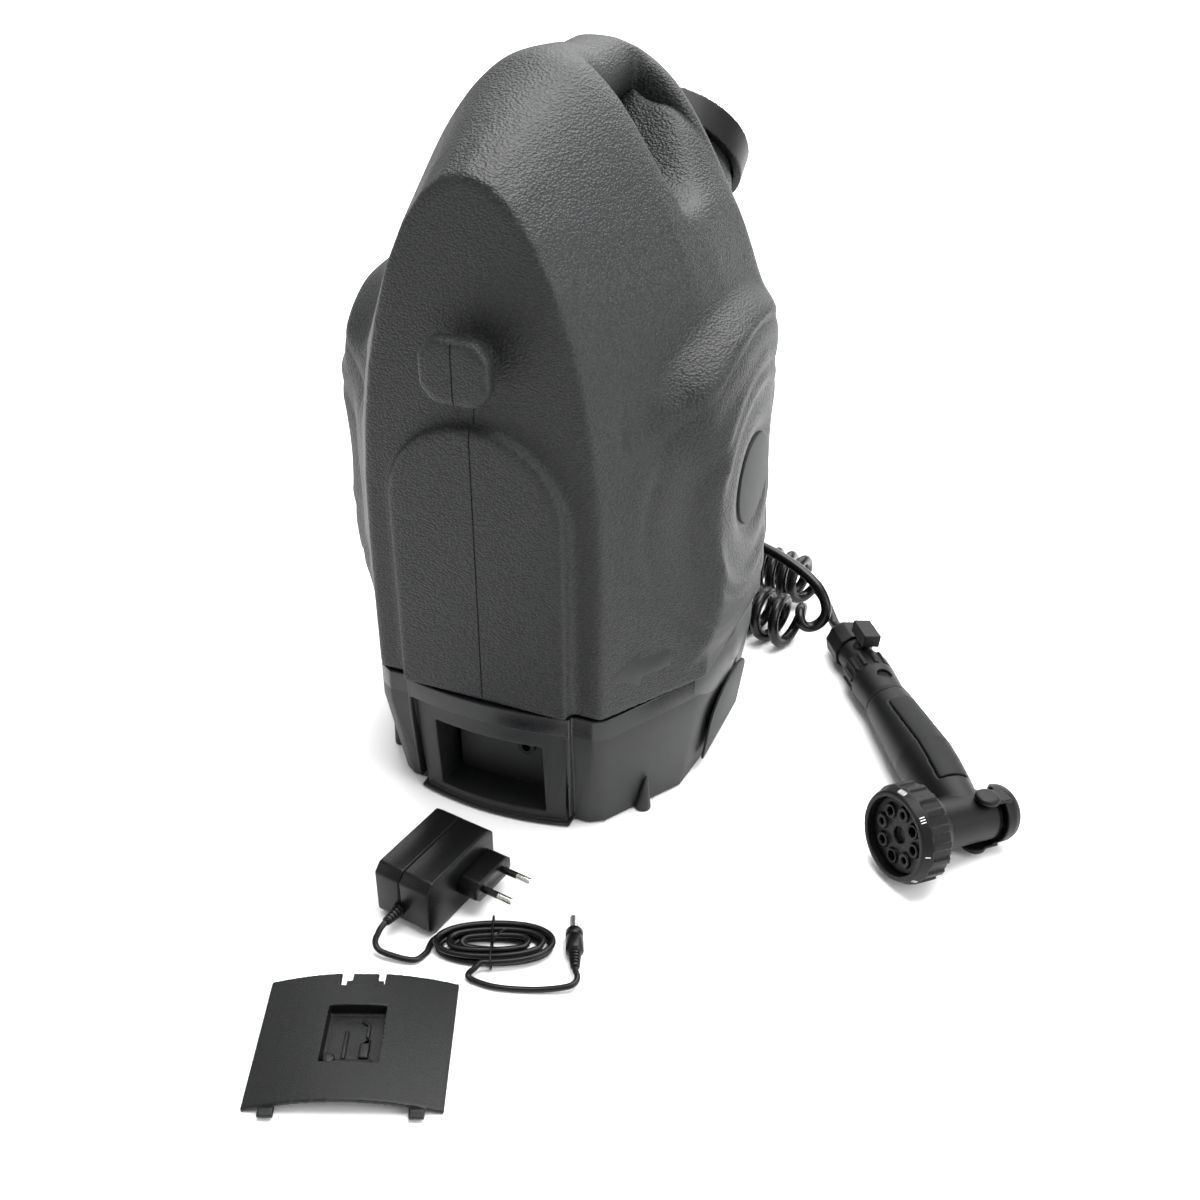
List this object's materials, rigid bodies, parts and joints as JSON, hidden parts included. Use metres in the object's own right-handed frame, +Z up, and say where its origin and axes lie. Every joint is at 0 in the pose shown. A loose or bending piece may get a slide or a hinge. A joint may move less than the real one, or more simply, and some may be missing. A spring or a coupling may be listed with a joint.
{
  "type": "camp shower pump",
  "caption": "Moulded water tank with handle and screw cap, locked on a battery pump base, with curly hose, spray gun, mains charger and loose battery bay door.",
  "frame": {"origin": "on the floor, at the middle of the bottom plate", "axes": "+Z up, -Y towards the battery bay end, +X towards the pictured broad side"},
  "size_m": [0.4306, 0.5757, 0.433],
  "materials": {
    "tank": "grained",
    "base": "satin",
    "badge": "satin",
    "fitting": "satin",
    "hose_skin": "gloss",
    "rubber": "matt",
    "steel": "bright",
    "contact": "bright",
    "board": "satin",
    "pack": "satin"
  },
  "bodies": {
    "base": {"base_housing": "base", "bottom_plate": "base", "base_screws": "steel", "base_badges": "badge", "bay_contacts": "contact", "battery_pack": "pack", "dc_socket": "fitting", "charge_board": "board", "pump_bracket": "fitting", "motor_mounts": "rubber", "pump_motor": "steel", "pump_head": "fitting", "head_cover": "fitting", "inlet_pipe": "fitting", "outlet_pipe": "fitting", "hose_outlet": "fitting", "outlet_nut": "fitting", "switch_bezel": "fitting", "port_seal": "rubber", "hose": "hose_skin", "hose_nut": "fitting", "stop_valve": "fitting", "ribbed_collar": "fitting", "gun_connector": "fitting", "gun_ring": "rubber", "gun_body": "fitting", "grip_inlay": "rubber", "rear_cap": "fitting", "flow_spindle": "steel"},
    "shaft": {"drive_shaft": "steel"},
    "rocker": {"power_rocker": "fitting"},
    "tank": {"tank_shell": "tank", "tank_shoe": "base", "shoe_screws": "steel", "tank_port": "fitting", "port_screen": "steel", "tank_badges": "badge"},
    "gasket": {"cap_gasket": "rubber"},
    "cap": {"filler_cap": "fitting"},
    "lever": {"stop_lever": "fitting"},
    "yoke": {"thumb_yoke": "fitting"},
    "dial": {"spray_dial": "fitting", "nozzle_face": "fitting"},
    "door": {"battery_door": "base"},
    "charger": {"charger_case": "fitting", "charger_lid": "fitting", "plug_block": "fitting", "plug_pins": "steel", "strain_relief": "rubber", "cord_lead": "hose_skin", "cord_hank": "hose_skin", "hank_tie": "rubber", "cord_tail": "hose_skin", "dc_plug": "rubber", "dc_barrel": "steel"}
  },
  "joints": [
    {"name": "shaft_spin", "type": "hinge", "parent": "base", "child": "shaft", "pos_m": [0, 0.045, 0.04], "axis": [1, 0, 0], "continuous": true},
    {"name": "rocker_tilt", "type": "hinge", "parent": "base", "child": "rocker", "pos_m": [0.038, 0.1195, 0.044], "axis": [1, 0, 0], "range_deg": [-8, 8]},
    {"name": "tank_unlock", "type": "slide", "parent": "base", "child": "tank", "axis": [0, 1, 0], "range_m": [0, 0.022]},
    {"name": "cap_rise", "type": "slide", "parent": "tank", "child": "gasket", "axis": [0, 0.788, 0.6157], "range_m": [0, 0.018]},
    {"name": "cap_turn", "type": "hinge", "parent": "gasket", "child": "cap", "pos_m": [0, 0.172, 0.333], "axis": [0, 0.788, 0.6157], "range_deg": [0, 1080]},
    {"name": "lever_turn", "type": "hinge", "parent": "base", "child": "lever", "pos_m": [0.17363, 0.10299, 0.03263], "axis": [-0.0933, -0.1178, -0.9886], "range_deg": [0, 90]},
    {"name": "yoke_press", "type": "hinge", "parent": "base", "child": "yoke", "pos_m": [0.27661, -0.04304, 0.02312], "axis": [0.0933, 0.1178, 0.9886], "range_deg": [0, 5], "stiffness_Nm_per_rad": 0.6},
    {"name": "dial_turn", "type": "hinge", "parent": "base", "child": "dial", "pos_m": [0.24811, -0.07075, 0.02911], "axis": [-0.6359, -0.757, 0.1502], "continuous": true},
    {"name": "door_lift", "type": "slide", "parent": "base", "child": "door", "axis": [0, 0, 1], "range_m": [0, 0.1]},
    {"name": "charger_lift", "type": "slide", "parent": "base", "child": "charger", "axis": [0, 0, 1], "range_m": [0, 0.1]}
  ],
  "couplings": [
    {"joint": "cap_rise", "follows": "cap_turn", "m_per_rad": 0.00095493}
  ]
}
